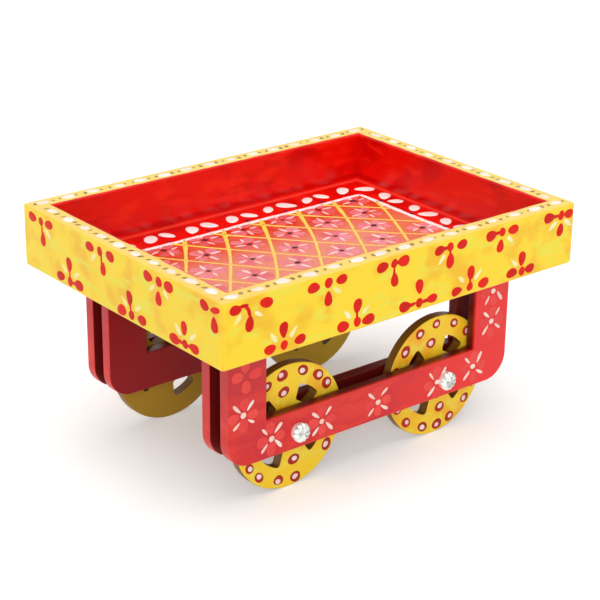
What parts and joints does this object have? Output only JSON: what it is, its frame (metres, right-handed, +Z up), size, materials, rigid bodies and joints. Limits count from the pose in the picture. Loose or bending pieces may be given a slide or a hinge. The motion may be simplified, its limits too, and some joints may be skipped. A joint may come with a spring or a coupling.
{
  "type": "painted wooden tray cart, tabletop size",
  "caption": "Shallow rectangular wooden tray with painted folk flowers, on paired U-shaped leg boards that carry freely turning spoked wheels; serves or displays things on a table.",
  "frame": {"origin": "on the ground under the middle of the tray", "axes": "+X along the tray's length and the way the wheels roll, +Y to the cart's left, +Z up"},
  "size_m": [0.203, 0.152, 0.1115],
  "materials": {
    "tray_paint": "brushed yellow paint with hand-painted red and white flowers, red on the inside faces",
    "floor_paint": "red paint with a white border, a yellow lattice and pale flowers, lightly varnished",
    "leg_paint": "brushed red paint with white and coral flowers",
    "wheel_paint": "brushed golden yellow paint with red and white dots on the outer faces",
    "pin_wood": "plain turned dowel",
    "crystal": "clear faceted stone, foiled back"
  },
  "bodies": {
    "cart": {"tray_floor": "floor_paint", "right_wall": "tray_paint", "left_wall": "tray_paint", "front_wall": "tray_paint", "rear_wall": "tray_paint", "right_outer_leg": "leg_paint", "right_inner_leg": "leg_paint", "left_outer_leg": "leg_paint", "left_inner_leg": "leg_paint", "front_right_pin": "pin_wood", "rear_right_pin": "pin_wood", "front_left_pin": "pin_wood", "rear_left_pin": "pin_wood", "front_right_crystal": "crystal", "rear_right_crystal": "crystal", "front_left_crystal": "crystal", "rear_left_crystal": "crystal"},
    "front_right_wheel": {"front_right_wheel": "wheel_paint"},
    "rear_right_wheel": {"rear_right_wheel": "wheel_paint"},
    "front_left_wheel": {"front_left_wheel": "wheel_paint"},
    "rear_left_wheel": {"rear_left_wheel": "wheel_paint"}
  },
  "joints": [
    {"name": "front_right_roll", "type": "hinge", "parent": "cart", "child": "front_right_wheel", "pos_m": [0.044, -0.04525, 0.03], "axis": [0, 1, 0], "continuous": true},
    {"name": "rear_right_roll", "type": "hinge", "parent": "cart", "child": "rear_right_wheel", "pos_m": [-0.044, -0.04525, 0.03], "axis": [0, 1, 0], "continuous": true},
    {"name": "front_left_roll", "type": "hinge", "parent": "cart", "child": "front_left_wheel", "pos_m": [0.044, 0.04525, 0.03], "axis": [0, 1, 0], "continuous": true},
    {"name": "rear_left_roll", "type": "hinge", "parent": "cart", "child": "rear_left_wheel", "pos_m": [-0.044, 0.04525, 0.03], "axis": [0, 1, 0], "continuous": true}
  ]
}
